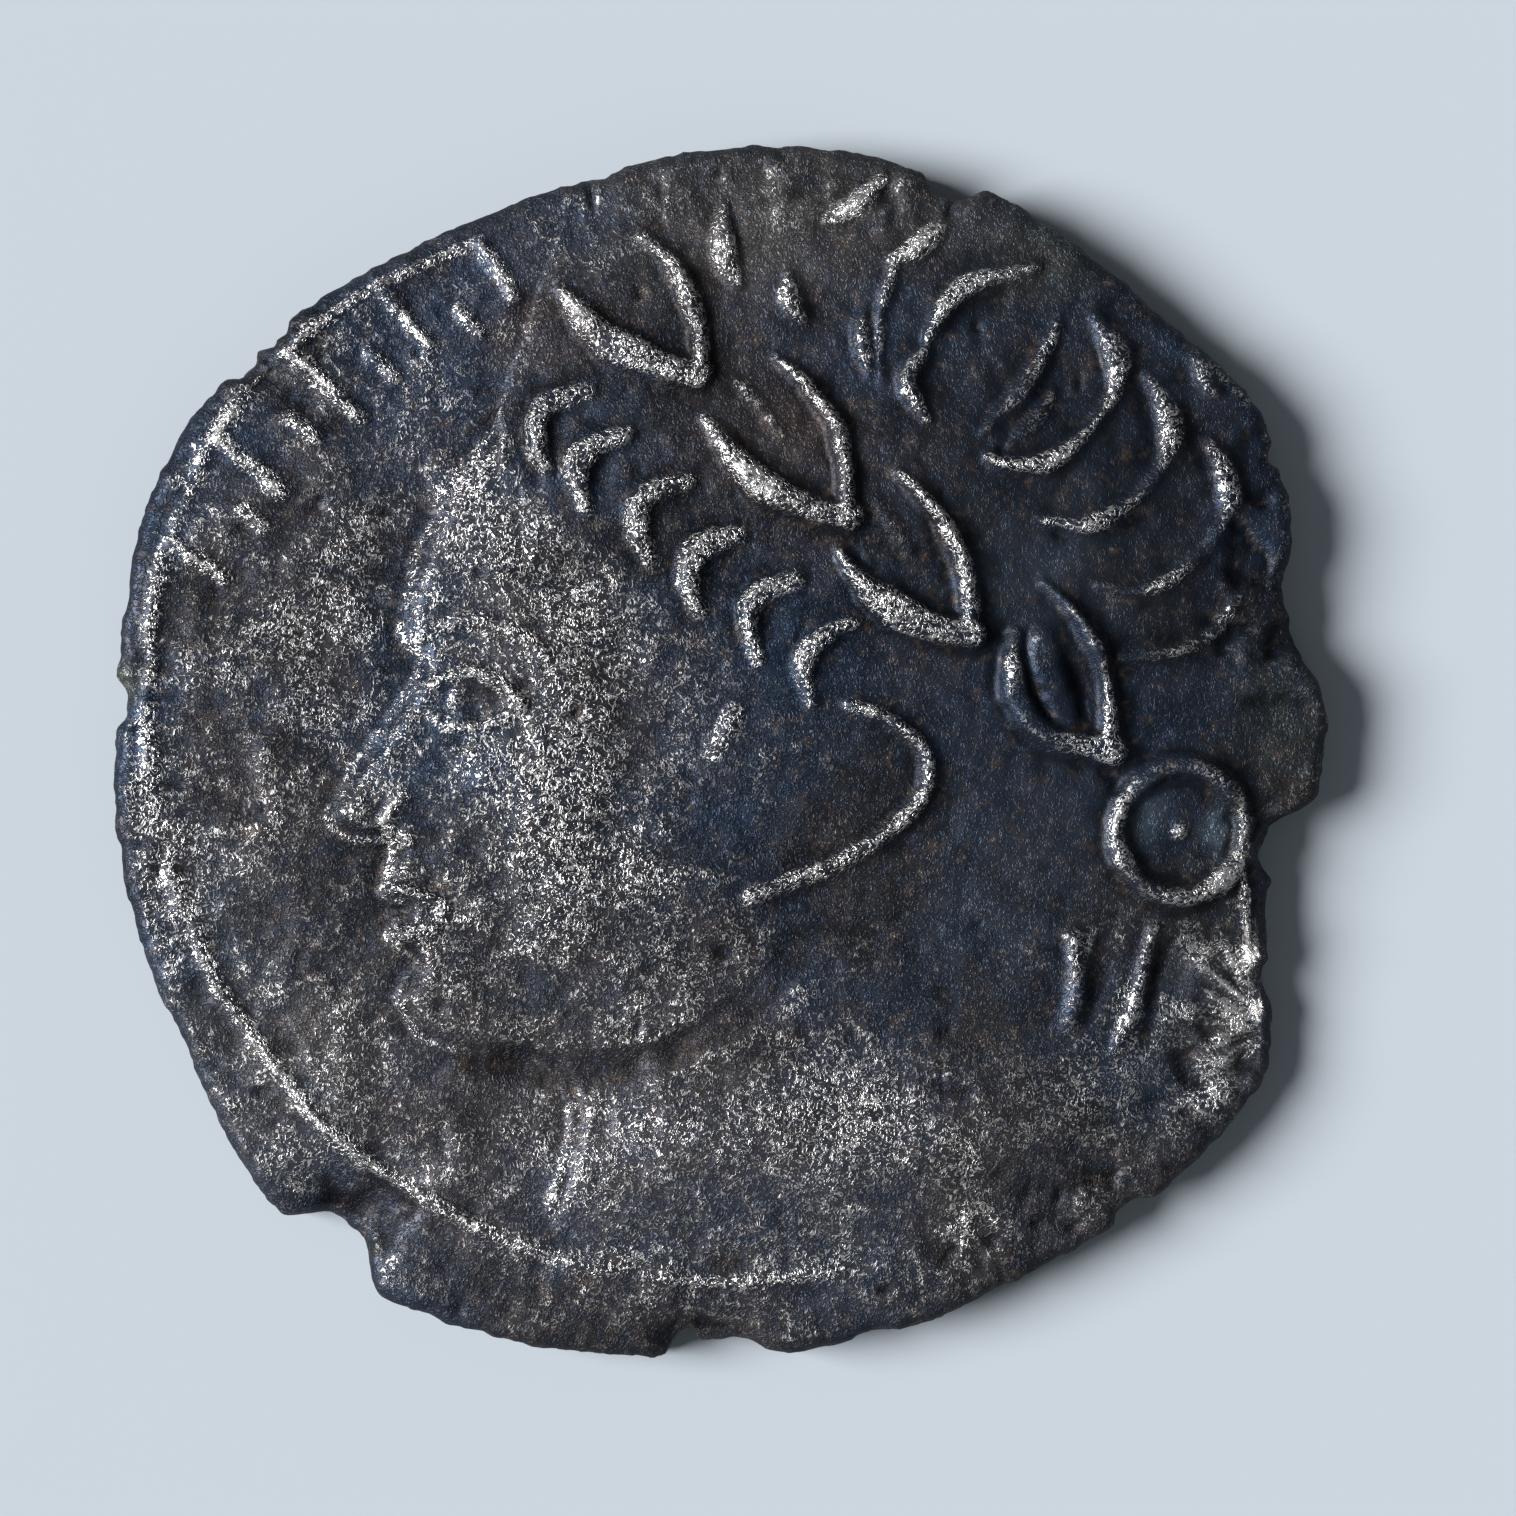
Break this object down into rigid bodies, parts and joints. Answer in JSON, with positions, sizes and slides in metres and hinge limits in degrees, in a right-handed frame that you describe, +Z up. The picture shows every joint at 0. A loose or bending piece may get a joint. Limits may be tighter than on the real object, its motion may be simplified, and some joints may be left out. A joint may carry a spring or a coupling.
{
  "type": "celtic silver coin",
  "caption": "Small worn silver coin of the late Iron Age with a wreathed head in profile, dark patina and a ragged, chipped edge, lying face up.",
  "frame": {"origin": "on the surface that the coin lies on, under the middle of its width and height", "axes": "+Z up out of the obverse, +X to the right of the head, +Y towards the top of the head"},
  "size_m": [0.0136, 0.0134, 0.0013],
  "materials": {
    "patinated_silver": "dark sulphide patina worn to bright silver on the high points"
  },
  "bodies": {
    "root": {"coin": "patinated_silver"}
  },
  "joints": []
}
